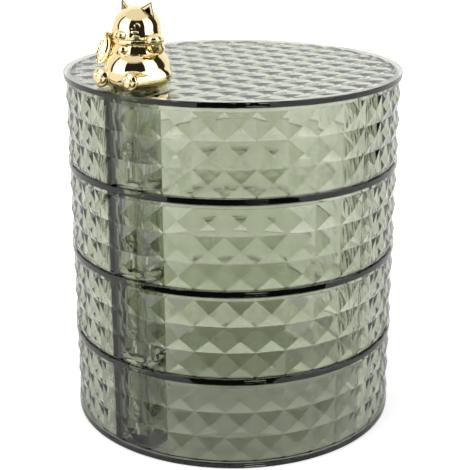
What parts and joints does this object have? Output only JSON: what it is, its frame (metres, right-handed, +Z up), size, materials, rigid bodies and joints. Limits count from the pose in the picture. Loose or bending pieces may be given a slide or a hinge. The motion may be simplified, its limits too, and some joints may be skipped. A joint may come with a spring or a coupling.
{
  "type": "rotating jewelry box",
  "caption": "Round stack of clear faceted trays and a lid that swing out on one hinge near the rim, with a gilt lucky cat on the lid.",
  "frame": {"origin": "middle of the base of the bottom tray, on the surface it stands on", "axes": "+Z up through the middle of the stack; -Y is the front, with the hinge at the front left and +X to the right as seen from the front"},
  "size_m": [0.1104, 0.1104, 0.1432],
  "materials": {
    "smoky_plastic": "clear smoky green injection-moulded polystyrene, polished",
    "clear_plug_plastic": "clear grey-green plastic, polished",
    "plated_steel": "bright zinc plating",
    "spring_steel": "plain spring steel",
    "gilt_plating": "mirror gold plating over moulded plastic"
  },
  "bodies": {
    "bottom_tray": {"tray_1": "smoky_plastic", "hinge_plug_1": "clear_plug_plastic", "hinge_screw_1": "plated_steel", "flat_washer_1": "plated_steel", "spring_washer_1": "spring_steel"},
    "second_tray": {"tray_2": "smoky_plastic", "hinge_plug_2": "clear_plug_plastic", "hinge_screw_2": "plated_steel", "flat_washer_2": "plated_steel", "spring_washer_2": "spring_steel"},
    "third_tray": {"tray_3": "smoky_plastic", "hinge_plug_3": "clear_plug_plastic", "hinge_screw_3": "plated_steel", "flat_washer_3": "plated_steel", "spring_washer_3": "spring_steel"},
    "top_tray": {"tray_4": "smoky_plastic", "hinge_plug_4": "clear_plug_plastic", "hinge_screw_4": "plated_steel", "flat_washer_4": "plated_steel", "spring_washer_4": "spring_steel"},
    "lid": {"lid": "smoky_plastic", "lid_cap": "smoky_plastic", "lucky_cat": "gilt_plating"}
  },
  "joints": [
    {"name": "second_tray_swing", "type": "hinge", "parent": "bottom_tray", "child": "second_tray", "pos_m": [-0.02907, -0.03655, 0.029], "axis": [0, 0, 1], "continuous": true},
    {"name": "third_tray_swing", "type": "hinge", "parent": "second_tray", "child": "third_tray", "pos_m": [-0.02907, -0.03655, 0.058], "axis": [0, 0, 1], "continuous": true},
    {"name": "top_tray_swing", "type": "hinge", "parent": "third_tray", "child": "top_tray", "pos_m": [-0.02907, -0.03655, 0.087], "axis": [0, 0, 1], "continuous": true},
    {"name": "lid_swing", "type": "hinge", "parent": "top_tray", "child": "lid", "pos_m": [-0.02907, -0.03655, 0.116], "axis": [0, 0, 1], "continuous": true}
  ]
}
